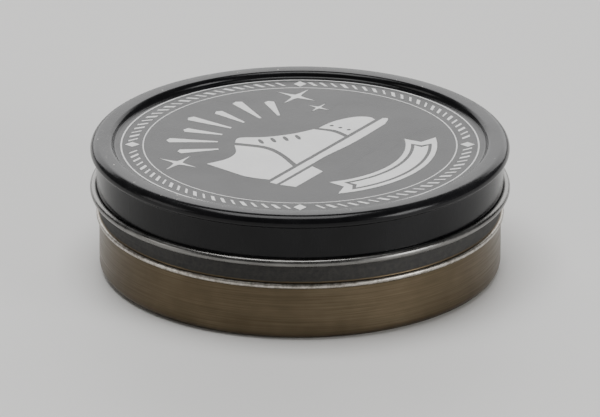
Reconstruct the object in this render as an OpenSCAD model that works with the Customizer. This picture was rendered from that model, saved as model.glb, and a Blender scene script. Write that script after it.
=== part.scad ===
// Shoe polish tin: a drawn tinplate pan of wax polish, a slip lid with a rolled curl, and a twist key
// that turns on a rivet through the pan's wall. Millimetres. The origin is the centre of the standing
// ring on the surface that the tin rests on, +Z is up, and the twist key is on the +Y side.

/* [Tin] */
// Overall height, from the standing ring to the top of the lid's rim
tin_h = 23; // [22.5:0.1:25]
// Outer diameter of the pan's straight wall
pan_d = 69.4; // [66:0.2:84]
// Gauge of the tinplate
sheet = 0.25; // [0.22:0.01:0.27]

/* [Pan] */
// Height of the middle of the bead that the lid stops above
bead_z = 10; // [9.6:0.1:10.4]
// How far the stop bead stands out of the wall
bead_out = 0.5; // [0.3:0.05:0.55]
// Radius of the pan's bottom corner
pan_corner = 1.5; // [1:0.1:2]
// How far the middle of the bottom is raised above the standing ring
foot_h = 0.9; // [0.6:0.1:1]
// Height of the polish at the wall
fill_z = 14.2; // [12:0.1:16]

/* [Lid] */
// Radial gap between the pan's wall and the lid's skirt
fit_gap = 0.15; // [0.12:0.01:0.2]
// How far the lid's flat panel lies below its rim
panel_drop = 1; // [0.7:0.1:1.2]
// Radius of the lid's shoulder, at the outside of the rim
shoulder_r = 1.3; // [1.25:0.05:1.5]
// How far the lid's shoulder stands out past its skirt
shoulder_out = 1; // [0.8:0.05:1.1]
// Radius of the curl at the bottom of the skirt
curl_r = 0.575; // [0.5:0.025:0.6]
// Height of the middle of the curl
curl_z = 14.5; // [14.3:0.1:15]

/* [Twist key] */
// Height of the rivet that the key turns on
pivot_z = 8.9; // [8.6:0.1:9]
// Gauge of the key
key_gauge = 0.6; // [0.5:0.05:0.6]
// Radius of the key's round middle
key_hub_r = 2.9; // [2.4:0.1:3]
// Radius of each wing
wing_r = 2.4; // [2:0.1:2.5]
// Angle that the wings are bent out of the key's plane
wing_angle = 60; // [55:1:75]
// Radius of the rivet's shank
rivet_r = 1; // [0.8:0.05:1.1]

/* [Hidden] */
$fn = 180;
arc_step = 9;                                // degrees between the points of a profile's arc
grid = 0.001;                                // profile points lie on it, which keeps level faces flat
half = sheet / 2;
contact = 0.02;                              // gap between pieces that lie against each other
over = 1;                                    // how far a cut runs past what it cuts

pan_r = pan_d / 2;                           // outside of the pan's wall
pan_mid = pan_r - half;                      // middle of its sheet
pan_top = tin_h - 1.8;
hem_r = 0.45;                                // safe edge rolled in at the pan's top
hem_turn = 250;                              // degrees that it is rolled through
foot_in = pan_r - 4.6;                       // where the raised bottom starts down to the standing ring
foot_step_r = 0.6;
bead_step_r = 0.35;

skirt_mid = pan_r + fit_gap + half;          // middle of the lid's sheet at the skirt
shoulder_mid = skirt_mid + shoulder_out;     // and at the widest of its shoulder
rim_z = tin_h - half;                        // and at the top of its rim
rim_step_r = 0.7;
rim_in = pan_r - 3.1;                        // where the panel starts up to the rim
neck_r = 0.6;                                // both bends from the shoulder in to the skirt
curl_turn = 300;                             // degrees that the curl is rolled through

pad_r = 3.2;                                 // flat pad pressed out of the pan's wall under the key
pad_face = pan_r + 0.55;                     // distance of its face from the tin's axis
rivet_gap = 0.05;                            // running clearance on the shank, and at each side of the key
key_back = pad_face + rivet_gap;             // the side of the key that faces the tin
key_mid = key_back + key_gauge / 2;
bend_x = 3.9;                                // where the wings start to bend
bend_r = 0.7;
neck_w = 3.4;
neck_end = 3.8;                              // how far the neck runs on behind the wing
wing_reach = 2.2;                            // from the end of the bend to the middle of the wing
wing_trim = 0.3;                             // from the end of the bend to the wing's trimmed edge
head_r = 1.9;
head_h = 0.8;
head_z = key_back + key_gauge + rivet_gap;   // underside of the rivet's head
washer_r = 2.3;
washer_h = 0.3;
washer_z = pad_face - sheet - contact - washer_h;
tail_r = 1.7;
tail_h = 0.5;
tail_z = washer_z - contact - tail_h;        // end of the rivet's tail, inside the pan
tail_edge = 0.2;                             // how far the tail's edges are rolled over
tail_bore_r = 0.5;
tail_bore = 0.7;

seal_gap = 0.1;                              // clearance round the sealing ring
seal_in = pan_r - 1.5;                       // its inner radius
seal_low = pan_top + seal_gap;

label_r = 26;
label_t = 0.1;
wax_dish = 0.5;                              // how far the polish sinks in the middle
wax_lip = 0.2;                               // how far it climbs at the wall

// Points on an arc about c, which is [radius, height]
function arc(c, r, from, to) =
    let (n = max(2, ceil(abs(to - from) / arc_step)))
    [for (i = [0 : n]) let (a = from + (to - from) * i / n) c + r * [cos(a), sin(a)]];

// Two equal arcs that carry a level line outwards from p and up or down by rise
function s_step(p, rise, r) =
    let (s = sign(rise), a = acos(1 - abs(rise) / (2 * r)), run = r * sin(a))
    concat(arc(p + [0, s * r], r, -s * 90, s * (a - 90)),
           arc(p + [2 * run, rise - s * r], r, s * (90 + a), s * 90));

function s_run(rise, r) = 2 * r * sin(acos(1 - abs(rise) / (2 * r)));
function swap(path) = [for (p = path) [p.y, p.x]];
function clean(path) =
    [for (i = [0 : len(path) - 1]) if (i == 0 || norm(path[i] - path[i - 1]) > grid) path[i]];
function back(path) = [for (i = [len(path) - 1 : -1 : 0]) path[i]];
function unit(v) = v / norm(v);
function normal(path, i) =
    let (t = unit(path[min(i + 1, len(path) - 1)] - path[max(i - 1, 0)])) [-t.y, t.x];
function snap(p) = [round(p.x / grid) * grid, round(p.y / grid) * grid];
function shift(path, d) = [for (i = [0 : len(path) - 1]) snap(path[i] + d * normal(path, i))];
function beside(path, d) = shift(clean(path), d);

// Section of a sheet of the given gauge whose middle follows a path
module bent_sheet(path, gauge) polygon(concat(beside(path, gauge / 2), back(beside(path, -gauge / 2))));

// Places children, drawn along +Z from the tin's axis, along +Y at the rivet
module at_pivot() translate([0, 0, pivot_z]) rotate([-90, 0, 0]) children();

// Middle of the pan's sheet: the raised bottom, the standing ring and the corner
floor_path = concat(
    [[0, foot_h + half]],
    s_step([foot_in, foot_h + half], -foot_h, foot_step_r),
    arc([pan_mid - pan_corner, half + pan_corner], pan_corner, -90, 0));

bead_run = s_run(bead_out, bead_step_r);
wall_path = concat(
    swap(s_step([bead_z - bead_run, pan_mid], bead_out, bead_step_r)),
    swap(s_step([bead_z, pan_mid + bead_out], -bead_out, bead_step_r)),
    arc([pan_mid - hem_r, pan_top - half - hem_r], hem_r, 0, hem_turn));

module base_pan() color([0.55, 0.46, 0.28]) difference() {
    union() {
        rotate_extrude() bent_sheet(concat(floor_path, wall_path), sheet);
        difference() {
            at_pivot() cylinder(r = pad_r, h = pad_face);
            cylinder(r = pan_mid, h = pan_top);
        }
    }
    at_pivot() cylinder(r = pad_r - sheet, h = pad_face - sheet);
    at_pivot() cylinder(r = rivet_r + rivet_gap, h = pad_face + over);
}

wax_r = pan_r - sheet - contact;
function wax_height(r) = fill_z - wax_dish * pow(cos(90 * r / wax_r), 2) + wax_lip * pow(r / wax_r, 24);

module polish_wax() color([0.04, 0.04, 0.045]) difference() {
    rotate_extrude() polygon(concat(
        beside(floor_path, half + contact),
        [for (i = [16 : -1 : 0]) let (r = wax_r * sin(90 * i / 16)) [r, wax_height(r)]]));
    at_pivot() translate([0, 0, tail_z - contact]) cylinder(r = washer_r + contact, h = over);
}

module base_label() color([0.85, 0.84, 0.8])
    translate([0, 0, foot_h - contact - label_t]) cylinder(r = label_r, h = label_t);

module rivet_washer() color([0.25, 0.2, 0.17])
    at_pivot() translate([0, 0, washer_z]) difference() {
        cylinder(r = washer_r, h = washer_h);
        translate([0, 0, -over]) cylinder(r = rivet_r + rivet_gap, h = washer_h + 2 * over);
    }

// A semi-tubular rivet: a domed head outside, and a clenched tail inside the pan
dome_r = (head_r * head_r + head_h * head_h) / (2 * head_h);

module key_rivet() color([0.75, 0.75, 0.76]) at_pivot() rotate_extrude() polygon(concat(
    [[0, tail_z + tail_bore], [tail_bore_r, tail_z + tail_bore], [tail_bore_r, tail_z + tail_edge]],
    [[tail_bore_r + tail_edge, tail_z], [tail_r - tail_edge, tail_z], [tail_r, tail_z + tail_edge]],
    [[tail_r, tail_z + tail_h], [rivet_r, tail_z + tail_h], [rivet_r, head_z]],
    arc([0, head_z + head_h - dome_r], dome_r, acos(head_r / dome_r), 90)));

// Middle of the key's sheet from its centre out along one wing, seen from above
wing_root = [bend_x, key_mid + bend_r] + bend_r * [sin(wing_angle), -cos(wing_angle)];
wing_path = concat(
    [[0, key_mid]],
    arc([bend_x, key_mid + bend_r], bend_r, -90, wing_angle - 90),
    [wing_root + neck_end * [cos(wing_angle), sin(wing_angle)]]);

// A round wing, flat along its bent plane and trimmed where it meets the bend
module wing() translate(wing_root) rotate(wing_angle) rotate([90, 0, 0])
    translate([0, 0, -key_gauge / 2]) linear_extrude(key_gauge) difference() {
        translate([wing_reach, 0]) circle(r = wing_r);
        translate([wing_trim - 2 * wing_r, -wing_r]) square(2 * wing_r);
    }

module opener_key() color([0.78, 0.78, 0.78]) difference() {
    union() {
        at_pivot() translate([0, 0, key_back]) cylinder(r = key_hub_r, h = key_gauge);
        translate([0, 0, pivot_z]) for (side = [0, 1]) mirror([side, 0, 0]) {
            translate([0, 0, -neck_w / 2]) linear_extrude(neck_w) bent_sheet(wing_path, key_gauge);
            wing();
        }
    }
    at_pivot() cylinder(r = rivet_r + rivet_gap, h = key_back + key_gauge + over);
}

// Middle of the lid's sheet: the panel, the rim, the shoulder, the skirt and the curl
shoulder_z = rim_z - shoulder_r;
neck_z = shoulder_z - s_run(shoulder_out, neck_r);
lid_path = concat(
    [[0, rim_z - panel_drop]],
    s_step([rim_in, rim_z - panel_drop], panel_drop, rim_step_r),
    arc([shoulder_mid - shoulder_r, shoulder_z], shoulder_r, 90, 0),
    back(swap(s_step([neck_z, skirt_mid], shoulder_out, neck_r))),
    arc([skirt_mid + curl_r, curl_z], curl_r, 180, 180 + curl_turn));

module lid_shell() color([0.05, 0.05, 0.05]) rotate_extrude() bent_sheet(lid_path, sheet);

// Sealing compound in the channel under the rim, which the pan's hem presses against
seal_inset = half + seal_gap;                // from the middle of the lid's sheet
seal_low_r = neck_r - seal_inset;
seal_path = concat(
    [[seal_in, seal_low]],
    arc([shoulder_mid - neck_r, shoulder_z], seal_low_r, -asin((shoulder_z - seal_low) / seal_low_r), 0),
    arc([shoulder_mid - shoulder_r, shoulder_z], shoulder_r - seal_inset, 0, 90),
    [[seal_in, rim_z - seal_inset]]);

module lid_seal() color([0.75, 0.72, 0.66]) rotate_extrude() polygon(clean(seal_path));

base_pan();
polish_wax();
base_label();
rivet_washer();
key_rivet();
opener_key();
lid_shell();
lid_seal();
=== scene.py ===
"""Looks of the shoe polish tin: a black printed slip lid over a gold-lacquered pan of wax polish.

Lengths are in metres, or in millimetres where they carry the factor MM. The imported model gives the
places; the named sizes below repeat the driving sizes of the part's own source.
"""
import math

import bmesh
import bpy
import numpy as np
from mathutils import Matrix, Vector, noise


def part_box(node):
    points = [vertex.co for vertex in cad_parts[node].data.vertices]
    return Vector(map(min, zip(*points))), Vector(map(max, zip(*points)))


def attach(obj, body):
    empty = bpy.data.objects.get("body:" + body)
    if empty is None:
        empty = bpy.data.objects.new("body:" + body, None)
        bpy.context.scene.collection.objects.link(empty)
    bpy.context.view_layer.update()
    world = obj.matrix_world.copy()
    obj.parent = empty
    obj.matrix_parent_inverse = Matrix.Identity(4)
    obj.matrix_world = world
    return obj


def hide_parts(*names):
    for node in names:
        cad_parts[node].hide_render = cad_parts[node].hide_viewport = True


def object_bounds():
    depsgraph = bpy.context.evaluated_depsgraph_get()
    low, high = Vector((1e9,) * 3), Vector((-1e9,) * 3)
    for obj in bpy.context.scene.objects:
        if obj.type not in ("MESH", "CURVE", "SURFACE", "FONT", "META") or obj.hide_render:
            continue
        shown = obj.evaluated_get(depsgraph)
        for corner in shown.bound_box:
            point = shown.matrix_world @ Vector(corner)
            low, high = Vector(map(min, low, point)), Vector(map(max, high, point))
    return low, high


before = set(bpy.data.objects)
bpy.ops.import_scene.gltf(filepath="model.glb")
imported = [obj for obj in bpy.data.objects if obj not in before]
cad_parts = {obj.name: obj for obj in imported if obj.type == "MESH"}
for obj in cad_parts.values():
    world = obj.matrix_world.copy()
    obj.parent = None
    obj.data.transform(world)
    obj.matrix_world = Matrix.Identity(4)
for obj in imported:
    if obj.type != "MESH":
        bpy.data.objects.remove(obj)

MM = 0.001
CAD_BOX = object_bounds()

# Sizes that the pressed pieces share
SHEET = 0.25 * MM
HALF = SHEET / 2
EDGE_R = 0.06 * MM                     # rounding of a sheet's cut edge
WELD = 0.001 * MM                      # points nearer than this are one
AXIS_R = 1e-7                          # a point nearer to the axis than this counts as on it
BEAD_OUT = 0.5 * MM
BEAD_Z = 10.0 * MM
FIT_GAP = 0.15 * MM
PANEL_DROP = 1.0 * MM
SHOULDER_R = 1.3 * MM
SHOULDER_OUT = 1.0 * MM
NECK_R = 0.6 * MM
CURL_R = 0.575 * MM
CURL_Z = 14.5 * MM
PAN_CORNER = 1.5 * MM
FOOT_H = 0.9 * MM
FOOT_STEP_R = 0.6 * MM
BEAD_STEP_R = 0.35 * MM
RIM_STEP_R = 0.7 * MM
HEM_R = 0.45 * MM
HEM_TURN = 250                         # degrees that the pan's edge is rolled through
PAD_R = 3.2 * MM
CONTACT = 0.02 * MM                    # gap between pieces that lie against each other

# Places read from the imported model
TIN_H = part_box("lid_shell")[1].z
PAN_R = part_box("base_pan")[1].x - BEAD_OUT
PAN_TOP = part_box("base_pan")[1].z
PAN_MID = PAN_R - HALF
SKIRT_MID = PAN_R + FIT_GAP + HALF
SHOULDER_MID = SKIRT_MID + SHOULDER_OUT
RIM_Z = TIN_H - HALF
SHOULDER_Z = RIM_Z - SHOULDER_R        # where the lid's shoulder is widest
PANEL_Z = TIN_H - PANEL_DROP           # top of the lid's flat panel
FOOT_IN = PAN_R - 4.6 * MM             # where the raised bottom starts down to the standing ring
RIM_IN = PAN_R - 3.1 * MM              # where the panel starts up to the rim
KEY_LOW, KEY_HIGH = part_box("opener_key")
PIVOT_Z = (KEY_LOW.z + KEY_HIGH.z) / 2
KEY_BACK = KEY_LOW.y
PAD_FACE = KEY_BACK - 0.05 * MM
WAX_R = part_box("polish_wax")[1].x
WAX_EDGE_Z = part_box("polish_wax")[1].z


# ---------------------------------------------------------------- sections

def arc(centre, radius, start, end, step=7.5):
    """Points (radius, height) on an arc, from one angle in degrees to another."""
    count = max(2, math.ceil(abs(end - start) / step))
    angles = [math.radians(start + (end - start) * i / count) for i in range(count + 1)]
    return [(centre[0] + radius * math.cos(a), centre[1] + radius * math.sin(a)) for a in angles]


def s_run(rise, radius):
    """How far outwards s_step goes."""
    return 2 * radius * math.sin(math.acos(1 - abs(rise) / (2 * radius)))


def s_step(point, rise, radius):
    """Two equal arcs that carry a level line outwards from point and up or down by rise."""
    s = math.copysign(1, rise)
    degrees = math.degrees(math.acos(1 - abs(rise) / (2 * radius)))
    x, z = point
    return (arc((x, z + s * radius), radius, -s * 90, s * (degrees - 90))
            + arc((x + s_run(rise, radius), z + rise - s * radius), radius, s * (90 + degrees), s * 90))


def swapped(path):
    """The path with radius and height exchanged."""
    return [(z, x) for x, z in path]


def filled(path, gap):
    """The path without repeated points, and with points added so that no step is longer than gap."""
    points = [path[0]]
    for nxt in path[1:]:
        last = points[-1]
        length = math.dist(last, nxt)
        if length < 1e-7:
            continue
        for i in range(1, math.ceil(length / gap) + 1):
            t = i / math.ceil(length / gap)
            points.append((last[0] + (nxt[0] - last[0]) * t, last[1] + (nxt[1] - last[1]) * t))
    return points


def beside(path, distance):
    """The path moved sideways, to its left for a positive distance."""
    moved = []
    for i, (x, z) in enumerate(path):
        a, b = path[max(i - 1, 0)], path[min(i + 1, len(path) - 1)]
        length = math.dist(a, b)
        moved.append((x - distance * (b[1] - a[1]) / length, z + distance * (b[0] - a[0]) / length))
    return moved


def end_cap(path):
    """A rounded cut edge across the end of a sheet, from its left side to its right."""
    (ax, az), (x, z) = path[-2], path[-1]
    heading = math.degrees(math.atan2(z - az, x - ax))
    cap = []
    for side, start in ((1, 90), (-1, 0)):
        a = math.radians(heading + 90 * side)
        inset = HALF - EDGE_R
        centre = (x + inset * math.cos(a), z + inset * math.sin(a))
        cap += arc(centre, EDGE_R, heading + start, heading + start - 90, 30)
    return cap


def sheet_section(path):
    """The outline of a sheet whose middle follows path, and which side each stretch belongs to:
    0 on the left, 1 round the cut edge and 2 on the right."""
    left, right = beside(path, HALF), beside(path, -HALF)
    cap = end_cap(path)
    outline = left[:-1] + cap + right[-2::-1]
    sides = [0] * (len(left) - 1) + [1] * (len(cap) - 1) + [2] * (len(right) - 1)
    return outline, sides


# ---------------------------------------------------------------- meshes

def new_piece(name, vertices, faces, materials, indices=None, welded=False):
    """A smooth-shaded mesh whose faces look outwards. Welding joins the points that coincide."""
    mesh = bpy.data.meshes.new(name)
    mesh.from_pydata([tuple(v) for v in vertices], [], faces)
    for material in materials:
        mesh.materials.append(material)
    if indices is not None:
        mesh.polygons.foreach_set("material_index", indices)
    mesh.polygons.foreach_set("use_smooth", [True] * len(faces))
    shell = bmesh.new()
    shell.from_mesh(mesh)
    if welded:
        bmesh.ops.remove_doubles(shell, verts=shell.verts, dist=WELD)
    bmesh.ops.recalc_face_normals(shell, faces=shell.faces)
    shell.to_mesh(mesh)
    shell.free()
    piece = bpy.data.objects.new(name, mesh)
    bpy.context.scene.collection.objects.link(piece)
    return piece


def even_angles(count):
    return [2 * math.pi * i / count for i in range(count)]


def angles_with_fine_back(coarse, fine, reach):
    """Angles round the axis in degrees steps, finer within reach degrees of +Y, where the key is."""
    near = np.arange(90 - reach, 90 + reach, fine)
    far = np.arange(90 + reach, 450 - reach, coarse)
    return [math.radians(a) for a in (*near, *far)]


def lathe(name, outline, materials, angles, sides=None, shape=None, closed=False, marks=None):
    """Turns an outline of (radius, height) round the Z axis, with a column of points at each angle. It
    starts and ends on the axis unless it is closed. sides gives the material of each stretch,
    shape(x, y, z) may move a point, and each function of (radius, height) in marks is kept on the mesh
    as a point attribute."""
    n = len(angles)
    vertices, rings = [], []
    for r, z in outline:
        if r < AXIS_R:
            rings.append([len(vertices)] * n)
            vertices.append((0, 0, shape(AXIS_R, 0, z)[2] if shape else z))
            continue
        rings.append(list(range(len(vertices), len(vertices) + n)))
        for a in angles:
            x, y, h = r * math.cos(a), r * math.sin(a), z
            if shape:
                x, y, h = shape(x, y, h)
            vertices.append((x, y, h))
    faces, indices = [], []
    last = len(outline) if closed else len(outline) - 1
    for i in range(last):
        low, high = rings[i], rings[(i + 1) % len(outline)]
        for j in range(n):
            k = (j + 1) % n
            corners = [low[j], high[j], high[k], low[k]]
            faces.append([c for m, c in enumerate(corners) if c != corners[m - 1]])
            indices.append(sides[i] if sides else 0)
    piece = new_piece(name, vertices, faces, materials, indices)
    for key, mark in (marks or {}).items():
        layer = piece.data.attributes.new(key, "FLOAT", "POINT")
        layer.data.foreach_set("value", [mark(math.hypot(x, y), z) for x, y, z in vertices])
    return piece


def turn_to_key(piece):
    """Stands a piece that was turned about Z on the key's axis, which runs along +Y."""
    piece.data.transform(Matrix.Translation((0, 0, PIVOT_Z)) @ Matrix.Rotation(-math.pi / 2, 4, "X"))
    return piece


def smooth(t):
    """0 up to t = 0, 1 from t = 1 on, and an eased step between them."""
    t = min(1.0, max(0.0, t))
    return t * t * (3 - 2 * t)


def wobble(x, y, z, size, seed):
    """Smooth noise from 0 to 1 whose bumps are about size across."""
    return 0.5 + 0.5 * noise.noise(Vector((x / size + seed, y / size, z / size)))


# ---------------------------------------------------------------- materials

def add(tree, kind, inputs=None, **settings):
    """A new shader node, with its inputs set to values or linked to other nodes' outputs."""
    node = tree.nodes.new("ShaderNode" + kind)
    for key, value in settings.items():
        setattr(node, key, value)
    for key, value in (inputs or {}).items():
        if isinstance(value, bpy.types.NodeSocket):
            tree.links.new(value, node.inputs[key])
        else:
            node.inputs[key].default_value = value
    return node


def rgb(red, green, blue):
    return (red, green, blue, 1.0)


class Look:
    """One material, with the few kinds of node that all of them are made of."""

    def __init__(self, name, **constants):
        self.material = bpy.data.materials.new(name)
        self.material.use_nodes = True
        self.tree = self.material.node_tree
        self.shader = self.tree.nodes["Principled BSDF"]
        for key, value in constants.items():
            self.shader.inputs[key.replace("_", " ")].default_value = value
        self.place = add(self.tree, "TexCoord").outputs["Object"]

    def stretched(self, x, y, z):
        """The place on the piece, in units of x, y and z metres."""
        scale = (1 / x, 1 / y, 1 / z)
        return add(self.tree, "Mapping", {"Vector": self.place, "Scale": scale}).outputs[0]

    def noise(self, size, detail=3.0, rough=0.55, vector=None, distortion=0.0):
        """Noise from about 0.25 to 0.75 with features about size metres across."""
        inputs = {"Vector": vector or self.place, "Scale": 1.0 if vector else 1 / size,
                  "Detail": detail, "Roughness": rough, "Distortion": distortion}
        return add(self.tree, "TexNoise", inputs).outputs[0]

    def cells(self, size):
        """The distance to the nearest of scattered points, in units of size metres."""
        return add(self.tree, "TexVoronoi", {"Vector": self.place, "Scale": 1 / size}).outputs[0]

    def range(self, value, low, high, start=0.0, end=1.0):
        """The value, carried from the span low to high onto start to end and held at both."""
        inputs = {"Value": value, "From Min": low, "From Max": high, "To Min": start, "To Max": end}
        return add(self.tree, "MapRange", inputs, clamp=True).outputs[0]

    def mark(self, name):
        """A point attribute of the mesh."""
        return add(self.tree, "Attribute", attribute_name=name).outputs["Fac"]

    def math(self, operation, a, b=0.0):
        return add(self.tree, "Math", {0: a, 1: b}, operation=operation).outputs[0]

    def mix(self, factor, a, b):
        """Colour a where the factor is 0 and b where it is 1."""
        node = self.tree.nodes.new("ShaderNodeMix")
        node.data_type = "RGBA"
        for socket, value in ((node.inputs[0], factor), (node.inputs[6], a), (node.inputs[7], b)):
            if isinstance(value, bpy.types.NodeSocket):
                self.tree.links.new(value, socket)
            else:
                socket.default_value = value
        return node.outputs[2]

    def feed(self, **sockets):
        """Links outputs to the shader's inputs of these names."""
        for key, value in sockets.items():
            self.tree.links.new(value, self.shader.inputs[key.replace("_", " ")])

    def bump(self, *layers):
        """Bumps fed to the shader: each layer is a height from 0 to 1 and its depth in metres."""
        normal = None
        for height, depth in layers:
            inputs = {"Height": height, "Strength": 1.0, "Distance": depth}
            if normal:
                inputs["Normal"] = normal
            normal = add(self.tree, "Bump", inputs).outputs[0]
        self.tree.links.new(normal, self.shader.inputs["Normal"])

    def scratches(self, length, width, tilt, seed):
        """Fine straight marks of about that length, at most places none: 1 in a mark, else 0."""
        turned = add(self.tree, "Mapping", {"Vector": self.place, "Rotation": (0, 0, tilt),
                                            "Location": (seed, seed, 0)}).outputs[0]
        scale = (1 / length, 1 / width, 1 / length)
        thin = add(self.tree, "Mapping", {"Vector": turned, "Scale": scale}).outputs[0]
        return self.range(self.noise(1, 2.0, 0.5, thin), 0.68, 0.74)


def black_lacquer():
    look = Look("black_lacquer", IOR=1.32)
    smudges = look.noise(9 * MM, 4.0, 0.6)
    dust = look.range(look.cells(0.9 * MM), 0.02, 0.1, 1.0, 0.0)
    marks = look.math("MAXIMUM", look.scratches(14 * MM, 0.05 * MM, 0.6, 3.0),
                      look.scratches(9 * MM, 0.05 * MM, 2.2, 7.0))
    nicks = look.range(look.math("MULTIPLY", look.mark("wear"), look.noise(0.9 * MM, 3.0, 0.7)), 0.63, 0.69)
    tint = look.mix(look.range(smudges, 0.3, 0.7), rgb(0.003, 0.003, 0.0035), rgb(0.008, 0.008, 0.009))
    tint = look.mix(look.math("MULTIPLY", dust, 0.05), tint, rgb(0.3, 0.3, 0.29))
    tint = look.mix(nicks, tint, rgb(0.45, 0.43, 0.4))
    sheen = look.range(smudges, 0.3, 0.7, 0.14, 0.26)
    sheen = look.math("ADD", sheen, look.math("MULTIPLY", marks, 0.2))
    look.feed(Base_Color=tint, Roughness=sheen, Metallic=nicks)
    look.bump((look.noise(11 * MM, 1.0, 0.5), 0.05 * MM), (look.noise(0.8 * MM, 2.0, 0.5), 0.0025 * MM),
              (marks, -0.001 * MM), (nicks, -0.01 * MM))
    return look.material


def gold_lacquer():
    """Dull gold over drawn tin. The bead is lighter, partly rubbed bare tin and partly a painted highlight,
    and the wall between the bead and the lid's curl is painted near-black as shade.
    """
    look = Look("gold_lacquer", Metallic=1.0)
    drawn = look.noise(1, 4.0, 0.65, look.stretched(14 * MM, 14 * MM, 0.22 * MM))
    cloud = look.noise(12 * MM, 3.0, 0.6)
    grain = look.noise(0.8 * MM, 4.0, 0.7)
    specks = look.range(look.cells(1.3 * MM), 0.03, 0.09, 1.0, 0.0)
    # lighter bead: partly rubbed bare tin, partly a painted highlight running round the bead
    rub_and_highlight = look.math("MULTIPLY", look.mark("wear"), look.range(grain, 0.35, 0.6, 0.35, 1.0))
    # painted shade: a near-black band on the wall under the lid's curl, standing in for the shadow that the
    # curl casts there
    painted_curl_shade = look.range(look.math("ADD", look.mark("painted_curl_shade"), look.range(grain, 0.3, 0.7, -0.3, 0.1)),
                         0.25, 0.65, 0.0, 0.98)
    tint = look.mix(look.range(cloud, 0.3, 0.7), rgb(0.096, 0.075, 0.047), rgb(0.15, 0.118, 0.076))
    tint = look.mix(look.range(drawn, 0.35, 0.65, 0.0, 0.5), tint, rgb(0.07, 0.052, 0.031))
    tint = look.mix(look.math("MULTIPLY", specks, 0.35), tint, rgb(0.06, 0.045, 0.03))
    tint = look.mix(rub_and_highlight, tint, rgb(0.6, 0.57, 0.52))
    # the near-black colour of the painted shade under the curl
    painted_shade_tint = look.mix(look.range(grain, 0.35, 0.65), rgb(0.006, 0.006, 0.006), rgb(0.024, 0.022, 0.019))
    tint = look.mix(painted_curl_shade, tint, painted_shade_tint)
    sheen = look.math("ADD", look.range(drawn, 0.3, 0.7, 0.3, 0.44), look.math("MULTIPLY", painted_curl_shade, 0.25))
    look.feed(Base_Color=tint, Roughness=sheen, Metallic=look.range(painted_curl_shade, 0.0, 1.0, 1.0, 0.0))
    look.bump((cloud, 0.04 * MM), (drawn, 0.004 * MM), (look.noise(0.5 * MM), 0.0015 * MM),
              (look.math("MULTIPLY", painted_curl_shade, grain), 0.04 * MM))
    return look.material


def plain_tinplate():
    look = Look("plain_tinplate", Metallic=1.0)
    rolled = look.noise(1, 4.0, 0.65, look.stretched(9 * MM, 0.12 * MM, 9 * MM))
    cloud = look.noise(5 * MM, 4.0, 0.6)
    tint = look.mix(look.range(cloud, 0.3, 0.7), rgb(0.15, 0.147, 0.141), rgb(0.25, 0.246, 0.236))
    look.feed(Base_Color=tint, Roughness=look.range(cloud, 0.3, 0.7, 0.22, 0.36))
    look.bump((cloud, 0.03 * MM), (rolled, 0.002 * MM))
    return look.material


def bare_edge():
    look = Look("bare_tinplate_edge", Metallic=1.0)
    burr = look.noise(0.25 * MM, 3.0, 0.7)
    look.feed(Base_Color=look.mix(look.range(burr, 0.3, 0.7), rgb(0.35, 0.34, 0.33), rgb(0.55, 0.54, 0.52)),
              Roughness=look.range(burr, 0.3, 0.7, 0.3, 0.55))
    look.bump((burr, 0.01 * MM))
    return look.material


def white_ink():
    look = Look("white_ink", IOR=1.34)
    grain = look.noise(0.35 * MM, 4.0, 0.7)
    blotch = look.noise(5 * MM, 3.0, 0.6)
    pin_holes = look.range(look.cells(0.45 * MM), 0.02, 0.07, 1.0, 0.0)
    tint = look.mix(look.range(blotch, 0.3, 0.7), rgb(0.8, 0.8, 0.79), rgb(0.87, 0.87, 0.86))
    tint = look.mix(look.math("MULTIPLY", pin_holes, look.range(grain, 0.5, 0.6, 0.0, 0.5)), tint,
                    rgb(0.1, 0.1, 0.1))
    look.feed(Base_Color=tint, Roughness=look.range(grain, 0.3, 0.7, 0.28, 0.42))
    look.bump((look.noise(11 * MM, 1.0, 0.5), 0.05 * MM), (grain, 0.004 * MM))
    return look.material


def plated_steel():
    look = Look("plated_steel", Metallic=1.0)
    cloud = look.noise(2.5 * MM, 3.0, 0.6)
    tumbled = look.math("MAXIMUM", look.scratches(2.5 * MM, 0.03 * MM, 0.4, 1.0),
                        look.scratches(2 * MM, 0.03 * MM, 1.9, 5.0))
    rolled = look.noise(1, 3.0, 0.6, look.stretched(3 * MM, 3 * MM, 0.06 * MM))
    tint = look.mix(look.range(cloud, 0.3, 0.7), rgb(0.4, 0.4, 0.4), rgb(0.56, 0.56, 0.55))
    look.feed(Base_Color=tint, Roughness=look.math("ADD", look.range(cloud, 0.3, 0.7, 0.2, 0.34),
                                                   look.math("MULTIPLY", tumbled, 0.15)))
    look.bump((rolled, 0.002 * MM), (tumbled, -0.002 * MM), (cloud, 0.01 * MM))
    return look.material


def black_wax():
    look = Look("black_wax", IOR=1.45, Coat_Weight=0.4, Coat_Roughness=0.12)
    grain = look.noise(0.6 * MM, 5.0, 0.65)
    bloom = look.noise(8 * MM, 4.0, 0.6, distortion=0.6)
    pits = look.range(look.cells(2.2 * MM), 0.02, 0.07, 1.0, 0.0)
    tint = look.mix(look.range(bloom, 0.35, 0.7), rgb(0.009, 0.0085, 0.0095), rgb(0.026, 0.025, 0.027))
    look.feed(Base_Color=tint, Roughness=look.range(bloom, 0.3, 0.7, 0.24, 0.5))
    look.bump((bloom, 0.12 * MM), (grain, 0.015 * MM), (pits, -0.05 * MM))
    return look.material


def sealing_compound():
    look = Look("sealing_compound", IOR=1.45, Subsurface_Weight=0.1, Subsurface_Scale=0.4 * MM)
    flow = look.noise(3 * MM, 3.0, 0.5)
    grain = look.noise(0.3 * MM, 3.0, 0.6)
    tint = look.mix(look.range(flow, 0.3, 0.7), rgb(0.5, 0.46, 0.38), rgb(0.62, 0.58, 0.49))
    look.feed(Base_Color=tint, Roughness=look.range(grain, 0.3, 0.7, 0.5, 0.7))
    look.bump((flow, 0.12 * MM), (grain, 0.01 * MM))
    return look.material


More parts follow.
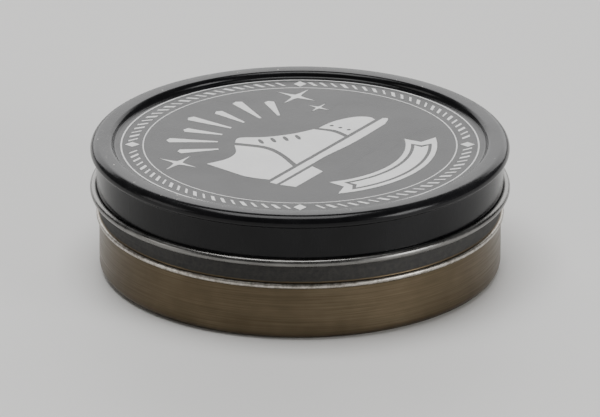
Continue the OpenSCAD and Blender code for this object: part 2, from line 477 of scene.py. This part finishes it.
def fibre():
    look = Look("red_fibre", IOR=1.45)
    strands = look.noise(1, 4.0, 0.7, look.stretched(0.6 * MM, 0.3 * MM, 0.12 * MM))
    look.feed(Base_Color=look.mix(look.range(strands, 0.3, 0.7), rgb(0.2, 0.07, 0.04), rgb(0.34, 0.14, 0.08)),
              Roughness=look.range(strands, 0.3, 0.7, 0.7, 0.9))
    look.bump((strands, 0.02 * MM))
    return look.material


def label_paper(radius):
    """Cream paper with two printed rings and a plain block of bars between them."""
    look = Look("label_paper", IOR=1.45)
    x, y, _ = add(look.tree, "SeparateXYZ", {"Vector": look.place}).outputs
    distance = look.math("SQRT", look.math("ADD", look.math("MULTIPLY", x, x), look.math("MULTIPLY", y, y)))

    def band(value, middle, half_width):
        off = look.math("ABSOLUTE", look.math("SUBTRACT", value, middle))
        return look.range(off, half_width - 0.03 * MM, half_width + 0.03 * MM, 1.0, 0.0)

    ink = look.math("MAXIMUM", band(distance, 0.93 * radius, 0.35 * MM),
                    band(distance, 0.88 * radius, 0.12 * MM))
    for row, half_length in ((9, 8), (6, 13), (-6, 14), (-9, 12), (-12, 7)):
        line = look.math("MULTIPLY", band(y, row * MM, 0.4 * MM), band(x, 0.0, half_length * MM))
        ink = look.math("MAXIMUM", ink, line)
    ink = look.math("MAXIMUM", ink, look.math("MULTIPLY", band(y, 0.0, 3 * MM), band(x, 0.0, 3 * MM)))
    pulp = look.noise(1, 5.0, 0.7, look.stretched(0.9 * MM, 0.35 * MM, 0.35 * MM))
    stain = look.noise(11 * MM, 3.0, 0.6)
    tint = look.mix(look.range(stain, 0.3, 0.7), rgb(0.7, 0.66, 0.56), rgb(0.78, 0.75, 0.67))
    tint = look.mix(look.range(pulp, 0.35, 0.65, 0.0, 0.25), tint, rgb(0.6, 0.55, 0.45))
    inked = look.math("MULTIPLY", ink, look.range(pulp, 0.3, 0.5, 0.75, 0.95))
    tint = look.mix(inked, tint, rgb(0.03, 0.03, 0.035))
    look.feed(Base_Color=tint, Roughness=look.range(pulp, 0.3, 0.7, 0.65, 0.85))
    look.bump((pulp, 0.012 * MM))
    return look.material


def pale_floor():
    look = Look("pale_floor", IOR=1.45)
    cloud = look.noise(60 * MM, 3.0, 0.5)
    look.feed(Base_Color=look.mix(look.range(cloud, 0.3, 0.7), rgb(0.8, 0.795, 0.78), rgb(0.83, 0.825, 0.81)),
              Roughness=look.range(cloud, 0.3, 0.7, 0.55, 0.65))
    return look.material


# ---------------------------------------------------------------- lid

def lid_piece(lacquer, tin, edge):
    """The lid: a flat panel, a raised rim, a shoulder, a skirt and a curl, drawn from one sheet."""
    neck_z = SHOULDER_Z - s_run(SHOULDER_OUT, NECK_R)
    path = filled(
        [(0.0, RIM_Z - PANEL_DROP)]
        + s_step((RIM_IN, RIM_Z - PANEL_DROP), PANEL_DROP, RIM_STEP_R)
        + arc((SHOULDER_MID - SHOULDER_R, SHOULDER_Z), SHOULDER_R, 90, 0)
        + swapped(s_step((neck_z, SKIRT_MID), SHOULDER_OUT, NECK_R))[::-1]
        + arc((SKIRT_MID + CURL_R, CURL_Z), CURL_R, 180, 480, 12), 2 * MM)
    outline, sides = sheet_section(path)
    curl_top = CURL_Z + CURL_R + HALF

    def shape(x, y, z):
        """Hand-worn unevenness: the skirt is a little out of round and the curl has soft dents."""
        radius = math.hypot(x, y)
        low = smooth((TIN_H - 1.5 * MM - z) / (4 * MM)) * smooth((radius - 0.9 * PAN_R) / (0.05 * PAN_R))
        inward = 0.05 * MM * low * wobble(x, y, z, 13 * MM, 2.0)
        if z < curl_top and radius > SKIRT_MID:
            inward += 0.05 * MM * wobble(x, y, 0, 3 * MM, 9.0) ** 2
        return x * (1 - inward / radius), y * (1 - inward / radius), z

    def wear(radius, z):
        """1 where hands rub most: on the curl, and a little less on the rim."""
        on_curl = smooth((radius - SKIRT_MID - 0.9 * MM) / (0.3 * MM))
        on_rim = smooth((z - TIN_H + 0.25 * MM) / (0.2 * MM))
        return max(on_curl, 0.93 * on_rim)

    return lathe("lid_pressing", outline, [lacquer, edge, tin], even_angles(216), sides, shape,
                 marks={"wear": wear})


def catmull(points, closed, count=10):
    """A smooth line through points."""
    n = len(points)
    made = []
    for i in range(n if closed else n - 1):
        index = [(i + k) % n if closed else min(max(i + k, 0), n - 1) for k in (-1, 0, 1, 2)]
        a, b, c, d = (np.array(points[k], float) for k in index)
        for j in range(count):
            t = j / count
            made.append(0.5 * (2 * b + (c - a) * t + (2 * a - 5 * b + 4 * c - d) * t * t
                               + (3 * b - a - 3 * c + d) * t ** 3))
    if not closed:
        made.append(np.array(points[-1], float))
    return [tuple(p) for p in made]


def stroke(points, width):
    """A brush stroke along points, pointed at both ends."""
    line = catmull(points, False)
    last = len(line) - 1
    left, right = [], []
    for i, (x, y) in enumerate(line):
        a, b = line[max(i - 1, 0)], line[min(i + 1, last)]
        length = math.dist(a, b)
        half = width / 2 * math.sin(math.pi * (0.04 + 0.92 * i / last)) ** 0.6
        nx, ny = -(b[1] - a[1]) / length, (b[0] - a[0]) / length
        left.append((x + nx * half, y + ny * half))
        right.append((x - nx * half, y - ny * half))
    return left + right[::-1]


def joined(*runs):
    """A closed outline of smooth runs that meet at sharp corners."""
    outline = []
    for run in runs:
        outline += catmull(run, False, 6)
    return [p for i, p in enumerate(outline) if math.dist(p, outline[i - 1]) > 0.01]


def gleam(x, y, size):
    """A four-pointed star with hollow sides."""
    points = []
    for quarter in range(4):
        for reach, angle in ((1.0, 0), (0.38, 11), (0.2, 45), (0.38, 79)):
            a = math.radians(90 * quarter + angle)
            points.append((x + size * reach * math.cos(a), y + size * reach * math.sin(a)))
    return points


def shoe_outlines():
    """A plain laced shoe in side view, its toe to the right, as separate parts with holes in them."""
    quarter = joined([(-16.9, -4.6), (-17.8, -0.5), (-17.2, 4.5), (-16.6, 8.6)],
                     [(-16.6, 8.6), (-13, 7), (-9.6, 7.2), (-6.6, 9.4)],
                     [(-6.6, 9.4), (-5.2, 4.5), (-6.2, 0.5), (-9.4, -4.6)])
    vamp = joined([(-8.2, -4.6), (-5.1, 0.6), (-4.1, 4.6), (-5.5, 10)],
                  [(-5.5, 10), (-3.2, 10.6), (-0.4, 7), (3.4, 3.9), (7.4, 1.9)],
                  [(7.4, 1.9), (8.1, -1.6), (7.3, -4.6)])
    toe_cap = joined([(8.3, -4.6), (9.1, -1.6), (8.4, 1.5)],
                     [(8.4, 1.5), (12.5, 1), (16.2, -0.8), (17.7, -3), (17.3, -4.6)])
    sole = joined([(-17.9, -5.4), (18.6, -5.4)], [(18.6, -5.4), (18.9, -6.3), (16.5, -7.2)],
                  [(16.5, -7.2), (6, -7.4), (-2, -6.8), (-7.2, -6.8), (-17.9, -6.8)])
    heel = [(-17.9, -7.5), (-7.6, -7.5), (-8.6, -10.3), (-17.2, -10.3)]
    laces = [stroke([(-1.9 + 1.75 * k, 7.4 - 1.45 * k), (-3.3 + 1.75 * k, 5.6 - 1.45 * k)], 0.8)
             for k in range(4)]
    holes = [[(10.6 + 0.4 * x, y + 0.4 * z) for x, z in circle(1, 8)] for y in (-3.4, -1.6, 0.2)]
    return [quarter, vamp, toe_cap, sole, heel, *laces, *holes]


def turned(points, degrees):
    a = math.radians(degrees)
    return [(x * math.cos(a) - y * math.sin(a), x * math.sin(a) + y * math.cos(a)) for x, y in points]


def polar(points):
    """Points given as (radius, angle in degrees) about the middle of the lid."""
    return [(r * math.cos(math.radians(a)), r * math.sin(math.radians(a))) for r, a in points]


def circle(radius, count=120):
    return polar([(radius, 360 * i / count) for i in range(count)])


def ray(angle, inner, outer):
    """A wedge of a sunburst, wider at its outer end."""
    return polar([(inner, angle - 0.9), (outer, angle - 2.4), (outer + 0.5, angle), (outer, angle + 2.4),
                  (inner, angle + 0.9)])


def ribbon(inner, outer, start, end, notch):
    """A curved band with a notch in each end."""
    steps = 24
    angles = [start + (end - start) * i / steps for i in range(steps + 1)]
    middle = (inner + outer) / 2
    return polar([(outer, a) for a in angles] + [(middle, end - notch)]
                 + [(inner, a) for a in reversed(angles)] + [(middle, start + notch)])


INK_ABOVE = 0.03 * MM                  # how far the ink stands above the panel
INK_BELOW = 0.05 * MM                  # and how far its slab reaches into it


def printed(name, outlines, material):
    """Outlines in millimetres on the lid's panel, filled as a thin slab of ink. A line inside another
    is a hole in it."""
    curve = bpy.data.curves.new(name, "CURVE")
    curve.dimensions = "2D"
    curve.fill_mode = "BOTH"
    curve.extrude = (INK_ABOVE + INK_BELOW) / 2
    for points in outlines:
        spline = curve.splines.new("POLY")
        spline.points.add(len(points) - 1)
        for point, (x, y) in zip(spline.points, points):
            point.co = (x * MM, y * MM, 0, 1)
        spline.use_cyclic_u = True
    maker = bpy.data.objects.new(name + "_maker", curve)
    bpy.context.scene.collection.objects.link(maker)
    bpy.context.view_layer.update()
    mesh = bpy.data.meshes.new_from_object(maker.evaluated_get(bpy.context.evaluated_depsgraph_get()))
    bpy.data.objects.remove(maker)
    mesh.transform(Matrix.Translation((0, 0, PANEL_Z + INK_ABOVE - curve.extrude)))
    mesh.materials.clear()
    mesh.materials.append(material)
    mesh.name = name
    piece = bpy.data.objects.new(name, mesh)
    bpy.context.scene.collection.objects.link(piece)
    return piece


EMBLEM_TILT = 57                       # degrees that the print stands turned from the front
SHOE_SCALE = 0.98


def emblem(ink):
    """A shoe under a sunburst, over a plain ribbon, between gleams."""
    shoe = [[(x * SHOE_SCALE, y * SHOE_SCALE) for x, y in part] for part in shoe_outlines()]
    rays = [ray(90 + 14 * k, 14.2, 22.6 - 1.8 * (k % 2)) for k in range(-3, 4)]
    ribbons = [ribbon(18.2, 23.6, 229, 311, 5), ribbon(19.1, 22.7, 236, 304, 2.2),
               ribbon(19.7, 22.1, 238.4, 301.6, 2.2)]
    gleams = [gleam(-18.6, 12.8, 3.8), gleam(18.8, 13, 4), gleam(16.4, 6.8, 2.2)]
    return printed("lid_emblem", [turned(s, EMBLEM_TILT) for s in (*shoe, *rays, *ribbons, *gleams)], ink)


def border(ink):
    """A rope border of slanting ticks between two thin rings, broken by four diamonds."""
    shapes = [circle(30.9), circle(30.65), circle(27.1), circle(26.9)]
    ticks, slant, inner, outer = 96, 2.4, 28.1, 29.6
    clear = 4                          # degrees without ticks on each side of a diamond
    for i in range(ticks):
        middle = 360 * (i + 0.5) / ticks
        if min(middle % 90, 90 - middle % 90) > clear:
            half = 0.6 + 0.18 * math.sin(i * 2.4)
            shapes.append(polar([(inner, middle - half), (inner, middle + half),
                                 (outer, middle + half + slant), (outer, middle - half + slant)]))
    for k in range(4):
        shapes.append(turned([(27.6, 0), (28.85, 1.1), (30.1, 0), (28.85, -1.1)], 90 * k))
    return printed("lid_border_print", shapes, ink)


def seal_piece(compound):
    """The ring of compound in the lid's channel, with the shallow groove that the hem has pressed."""
    low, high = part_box("lid_seal")
    outer, inner = high.x, PAN_R - 1.5 * MM
    corner = SHOULDER_R - HALF - 0.1 * MM
    soft = 0.12 * MM
    groove_r, groove_half, groove_depth = PAN_R - 0.6 * MM, 0.35 * MM, 0.08 * MM
    groove = [(groove_r + groove_half * math.sin(a), low.z + groove_depth * math.cos(a) ** 2)
              for a in np.linspace(-math.pi / 2, math.pi / 2, 9)]
    outline = (
        arc((inner + soft, low.z + soft), soft, 180, 270, 30)
        + groove
        + arc((outer - 2 * soft, low.z + soft), soft, -90, 0, 30)
        + arc((outer - corner, high.z - corner), corner, 0, 90, 15)
        + arc((inner + 2 * soft, high.z - 2 * soft), 2 * soft, 90, 180, 30))
    return lathe("seal_compound_ring", outline, [compound], even_angles(144), closed=True)


# ---------------------------------------------------------------- base

FINE_BACK = angles_with_fine_back(2.0, 0.4, 8.8)


def pressed(x, y, z, target, radius, soft):
    """A point on the wall behind the key, pushed along Y to target within radius of the key's axis."""
    if y < 0.9 * PAN_R:
        return y
    distance = math.hypot(x, z - PIVOT_Z)
    return y + (target - y) * smooth((radius + soft - distance) / (2 * soft))


def pan_piece(gold, edge):
    """The pan: raised bottom, standing ring, stop bead, pad for the key and rolled-in hem."""
    margin = 1 * MM                    # of closely set rows above and below the pad
    run = s_run(BEAD_OUT, BEAD_STEP_R)
    floor_path = ([(0.0, FOOT_H + HALF)] + s_step((FOOT_IN, FOOT_H + HALF), -FOOT_H, FOOT_STEP_R)
                  + arc((PAN_MID - PAN_CORNER, HALF + PAN_CORNER), PAN_CORNER, -90, 0))
    wall = [(PAN_MID, PIVOT_Z - PAD_R - margin)]
    bead = (swapped(s_step((BEAD_Z - run, PAN_MID), BEAD_OUT, BEAD_STEP_R))
            + swapped(s_step((BEAD_Z, PAN_MID + BEAD_OUT), -BEAD_OUT, BEAD_STEP_R)))
    hem = arc((PAN_MID - HEM_R, PAN_TOP - HALF - HEM_R), HEM_R, 0, HEM_TURN, 12)
    low = filled(floor_path + wall, 3 * MM)
    middle = filled([wall[0]] + bead + [(PAN_MID, PIVOT_Z + PAD_R + margin)], 0.25 * MM)
    path = low + middle[1:] + filled([middle[-1]] + hem, 2 * MM)[1:]
    outline, sides = sheet_section(path)

    def shape(x, y, z):
        """The flat pad behind the key, and a wall that is a little out of round."""
        radius = math.hypot(x, y)
        outside = radius > PAN_MID
        y = pressed(x, y, z, PAD_FACE if outside else PAD_FACE - SHEET, PAD_R - 0.2 * MM, 0.2 * MM)
        on_wall = smooth((radius - 0.9 * PAN_R) / (0.05 * PAN_R)) * smooth((PAN_R - y) / MM)
        inward = 0.04 * MM * on_wall * wobble(x, y, z, 12 * MM, 5.0)
        return x * (1 - inward / radius), y * (1 - inward / radius), z

    def wear(radius, z):
        """1 on the bead, where it marks rubbed tin and a painted highlight, and a little less where the tin
        stands, where it marks wear.
        """
        on_bead = smooth((radius - PAN_R - 0.05 * MM) / (0.25 * MM)) * (abs(z - BEAD_Z) < run + 0.1 * MM)
        on_foot = smooth((0.35 * MM - z) / (0.3 * MM))
        return max(on_bead, 0.8 * on_foot)

    def painted_curl_shade(radius, z):
        """Where shade is painted: 1 on the outside of the wall, between the bead and the lid's curl."""
        outside = radius > PAN_R - 0.1 * MM
        over_bead = smooth((z - BEAD_Z - 0.55 * MM) / (0.35 * MM))
        under_curl = smooth((CURL_Z + 1.2 * MM - z) / (1.2 * MM))
        return outside * over_bead * under_curl

    return lathe("pan_pressing", outline, [gold, edge, gold], FINE_BACK, sides, shape,
                 marks={"wear": wear, "painted_curl_shade": painted_curl_shade})


SWIRL = (-7 * MM, -5 * MM)              # middle of the place that a cloth has worn


def wax_piece(wax):
    """The cake of polish, dished as it set, with a lip at the wall and a swirl worn by a cloth."""
    floor_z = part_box("polish_wax")[0].z
    raised_z = FOOT_H + SHEET + CONTACT
    lip, dish = 0.2 * MM, 0.5 * MM
    corner = PAN_CORNER - HALF
    side = [(WAX_R, z) for z in np.arange(floor_z + corner + 1 * MM, WAX_EDGE_Z - lip, 0.5 * MM)]
    bottom = [(0.0, raised_z), (PAN_R - 4.8 * MM, raised_z), (PAN_R - 3.3 * MM, floor_z)]
    top, rings = [], 80
    for i in range(rings + 1):
        r = WAX_R * math.sin(math.radians(90 * (rings - i) / rings))
        share = r / WAX_R
        top.append((r, WAX_EDGE_Z - lip - dish * math.cos(math.pi / 2 * share) ** 2 + lip * share ** 24))
    outline = filled(bottom + arc((WAX_R - corner, floor_z + corner), corner, -90, 0), 3 * MM) + side + top

    def shape(x, y, z):
        """The hollow round the rivet's tail, and on top gentle waves and the swirl."""
        y = pressed(x, y, z, PAD_FACE - 1.2 * MM, 2.5 * MM, 0.15 * MM)
        radius = math.hypot(x, y)
        share = radius / WAX_R
        if z > WAX_EDGE_Z - 1.2 * MM and share < 0.995:
            inner = smooth((0.97 - share) / 0.15)
            reach = math.hypot(x - SWIRL[0], y - SWIRL[1])
            heading = math.atan2(y - SWIRL[1], x - SWIRL[0])
            swirl = smooth((17 * MM - reach) / (11 * MM))
            ring = (reach + 2.2 * MM * wobble(x, y, 0, 6 * MM, 11.0)) / (2.9 * MM)
            depth = 0.028 * MM * swirl * smooth(reach / (6 * MM)) * wobble(x, y, 0, 4 * MM, 3.0)
            waves = 0.12 * MM * (wobble(x, y, 0, 13 * MM, 4.0) - 1)
            wiped = depth * math.sin(2 * math.pi * ring + heading)
            z += inner * (waves - 0.03 * MM + wiped - 0.3 * MM * swirl)
        return x, y, z

    return lathe("wax_cake", outline, [wax], FINE_BACK, shape=shape)


def label_piece(paper):
    low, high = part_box("base_label")
    edge = 0.03 * MM
    outline = ([(0.0, low.z)] + arc((high.x - edge, low.z + edge), edge, -90, 0, 45)
               + arc((high.x - edge, high.z - edge), edge, 0, 90, 45) + [(0.0, high.z)])
    return lathe("underside_label", filled(outline, 4 * MM), [paper], even_angles(120))


def washer_piece(material):
    low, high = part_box("rivet_washer")
    outer, inner, edge = high.x, 1.05 * MM, 0.05 * MM
    outline = []
    for r, y, start in ((inner, low.y, 180), (outer, low.y, 270), (outer, high.y, 0), (inner, high.y, 90)):
        centre = (r + math.copysign(edge, outer - r - edge), y + math.copysign(edge, high.y - y - edge))
        outline += arc(centre, edge, start, start + 90, 45)
    return turn_to_key(lathe("fibre_washer_ring", outline, [material], even_angles(48), closed=True))


def rivet_piece(steel):
    """A semi-tubular rivet: a domed head outside, and a clenched tail inside the pan."""
    low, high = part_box("key_rivet")
    head_r, head_h, shank_r = high.x, 0.8 * MM, 1.0 * MM
    tail_r, tail_h, soft = 1.7 * MM, 0.5 * MM, 0.1 * MM
    bore_r, bore_end, bore_side = 0.5 * MM, 0.7 * MM, 0.65 * MM
    head_y = high.y - head_h
    dome_r = (head_r ** 2 + head_h ** 2) / (2 * head_h)
    rim_angle = math.degrees(math.acos(head_r / dome_r))
    outline = (
        [(0.0, low.y + bore_end), (bore_r, low.y + bore_side)]
        + arc((bore_r + 2 * soft, low.y + 2 * soft), 2 * soft, 180, 270, 30)
        + arc((tail_r - 2 * soft, low.y + 2 * soft), 2 * soft, 270, 360, 30)
        + arc((tail_r - soft, low.y + tail_h - soft), soft, 0, 90, 45)
        + [(shank_r, low.y + tail_h), (shank_r, head_y)]
        + arc((head_r - soft, head_y + soft), soft, -90, rim_angle / 2, 30)
        + arc((0.0, high.y - dome_r), dome_r, rim_angle + 4, 90, 5))
    return turn_to_key(lathe("rivet_domed", outline, [steel], even_angles(64)))


def key_piece(steel):
    """The twist key, stamped from strip: a round middle, two necks and two round wings bent outwards."""
    gauge, bend_x, bend_r, bend = 0.6 * MM, 3.9 * MM, 0.7 * MM, math.radians(60)
    hub_r, wing_r, neck = 2.9 * MM, 2.4 * MM, 1.7 * MM
    rounding, middle_y = 0.14 * MM, KEY_BACK + gauge / 2
    bend_end = bend_x + bend_r * bend
    wing_at = bend_end + 2.2 * MM
    tip = wing_at + wing_r

    def half_width(s):
        """Half the strip's width at s, from the middle, the necks and the wings, blended into each other."""
        widths = [math.sqrt(max(hub_r ** 2 - s ** 2, 0)), math.sqrt(max(wing_r ** 2 - (s - wing_at) ** 2, 0))]
        widths.append(neck if s < wing_at else 0)
        sharp = 5.0 / MM
        return math.log(sum(math.exp(sharp * w) for w in widths)) / sharp if s < wing_at else widths[1]

    def placed(s, across, out):
        """A point at s along the strip, across it, and out of its outer face."""
        side, s = math.copysign(1, s), abs(s)
        if s < bend_x:
            x, y, a = s, middle_y, 0.0
        elif s < bend_end:
            a = (s - bend_x) / bend_r
            x, y = bend_x + bend_r * math.sin(a), middle_y + bend_r * (1 - math.cos(a))
        else:
            a = bend
            x = bend_x + bend_r * math.sin(a) + (s - bend_end) * math.cos(a)
            y = middle_y + bend_r * (1 - math.cos(a)) + (s - bend_end) * math.sin(a)
        return side * (x - out * math.sin(a)), y + out * math.cos(a), PIVOT_Z + across

    stations = list(np.linspace(0, bend_x, 16)) + list(np.linspace(bend_x, bend_end, 9)[1:])
    stations += [wing_at + (bend_end - wing_at) * math.cos(a) for a in np.linspace(0, math.pi / 2, 8)[1:]]
    stations += [wing_at + wing_r * math.sin(a) for a in np.linspace(0, math.pi / 2, 22)[1:]]
    stations = sorted(set(stations))
    stations = [-s for s in stations[:0:-1]] + stations
    corner_points, flat_points = 5, (0.5, 0.0, -0.5)
    ring_size = 4 * corner_points + 2 * len(flat_points)
    rings, vertices = [], []
    for s in stations:
        width = half_width(abs(s))
        close = min(rounding, tip - abs(s))
        thick = gauge / 2 - rounding + math.sqrt(max(rounding ** 2 - (rounding - close) ** 2, 0))
        corner = min(rounding, width)
        flat = max(width - corner, 0)
        ring = []
        for quarter, (u, v) in enumerate(((1, 1), (-1, 1), (-1, -1), (1, -1))):
            for a in np.linspace(0, math.pi / 2, corner_points):
                a += quarter * math.pi / 2
                across = u * flat + corner * math.cos(a)
                out = v * (thick - min(corner, thick)) + min(corner, thick) * math.sin(a)
                ring.append(len(vertices))
                vertices.append(placed(s, across, out))
            if flat and quarter in (0, 2):
                for t in flat_points:
                    ring.append(len(vertices))
                    vertices.append(placed(s, u * t * flat, v * thick))
        while len(ring) < ring_size:
            ring.append(ring[-1])
        rings.append(ring)
    faces = []
    for low, high in zip(rings, rings[1:]):
        for j in range(ring_size):
            k = (j + 1) % ring_size
            corners = [low[j], low[k], high[k], high[j]]
            face = [c for m, c in enumerate(corners) if c != corners[m - 1]]
            if len(face) > 2:
                faces.append(face)
    faces += [rings[0][::-1], rings[-1]]
    return new_piece("twist_key", vertices, faces, [steel], welded=True)


# ---------------------------------------------------------------- the object

def ride_on(body, slot, *pieces, replaces=()):
    """Puts pieces on a body and hides the nodes in replaces. slot is not used."""
    for piece in pieces:
        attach(piece, body)
    for node in replaces:
        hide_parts(node)


def build():
    gold, edge, ink = gold_lacquer(), bare_edge(), white_ink()
    steel = plated_steel()
    lid = lid_piece(black_lacquer(), plain_tinplate(), edge)
    ride_on("lid", "black_lacquered_tinplate", lid, replaces=["lid_shell"])
    for print_piece in (emblem(ink), border(ink)):
        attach(print_piece, "lid")
    ride_on("seal_ring", "sealing_compound", seal_piece(sealing_compound()), replaces=["lid_seal"])
    ride_on("base", "gold_lacquered_tinplate", pan_piece(gold, edge), replaces=["base_pan"])
    ride_on("base", "black_wax_polish", wax_piece(black_wax()), replaces=["polish_wax"])
    paper = label_paper(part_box("base_label")[1].x)
    ride_on("base", "label_paper", label_piece(paper), replaces=["base_label"])
    ride_on("base", "fibre_washer", washer_piece(fibre()), replaces=["rivet_washer"])
    ride_on("base", "plated_steel", rivet_piece(steel), replaces=["key_rivet"])
    ride_on("key", "plated_steel", key_piece(steel), replaces=["opener_key"])


# ---------------------------------------------------------------- camera, floor and light

CAMERA_ELEVATION = 22.0                # degrees that it looks down
CAMERA_DISTANCE = 1.4
CAMERA_AIM = 0.44                      # of the tin's height that the camera looks at
FRAME_SHARE = 0.7                      # of the picture's width that the lid takes
FLOOR_HALF = 3.0                       # half of the floor's width
ROOM_LIGHT = 0.12


def set_camera(target):
    data = bpy.data.cameras.new("camera")
    camera = bpy.data.objects.new("camera", data)
    bpy.context.scene.collection.objects.link(camera)
    a = math.radians(CAMERA_ELEVATION)
    back = Vector((0, -math.cos(a), math.sin(a)))
    camera.location = target + back * CAMERA_DISTANCE
    camera.rotation_euler = (-back).to_track_quat("-Z", "Y").to_euler()
    lid_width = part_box("lid_shell")[1].x * 2
    data.lens = data.sensor_width * CAMERA_DISTANCE * FRAME_SHARE / lid_width
    bpy.context.scene.camera = camera


def softbox(name, place, width, height, radiance, warmth=1.0):
    """A rectangular light that faces the tin and looks as bright as radiance in a mirror."""
    data = bpy.data.lights.new(name, "AREA")
    data.shape = "RECTANGLE"
    data.size, data.size_y = width, height
    data.energy = radiance * math.pi * width * height
    data.color = (1.0, warmth, warmth ** 2)
    light = bpy.data.objects.new(name, data)
    light.location = place
    light.rotation_euler = (-Vector(place)).to_track_quat("-Z", "Z").to_euler()
    light.visible_camera = False
    bpy.context.scene.collection.objects.link(light)


def set_stage():
    corners = [(x * FLOOR_HALF, y * FLOOR_HALF, 0) for x, y in ((-1, -1), (1, -1), (1, 1), (-1, 1))]
    floor = new_piece("floor", corners, [(0, 1, 2, 3)], [pale_floor()])
    world = bpy.data.worlds.new("soft_room")
    world.use_nodes = True
    world.node_tree.nodes["Background"].inputs["Color"].default_value = rgb(1.0, 1.0, 1.0)
    world.node_tree.nodes["Background"].inputs["Strength"].default_value = ROOM_LIGHT
    bpy.context.scene.world = world
    softbox("back_box", (0.0, 1.35, 0.55), 2.4, 0.8, 2.4)
    softbox("overhead_box", (-0.1, 0.0, 1.1), 0.8, 0.7, 6.0)
    softbox("left_strip", (-0.62, -0.14, 0.16), 0.24, 0.3, 2.0, 0.98)
    softbox("right_strip", (0.55, -0.34, 0.16), 0.24, 0.3, 8.5)


def main():
    set_camera(Vector((0, 0, CAMERA_AIM * CAD_BOX[1].z)))
    build()
    set_stage()


main()
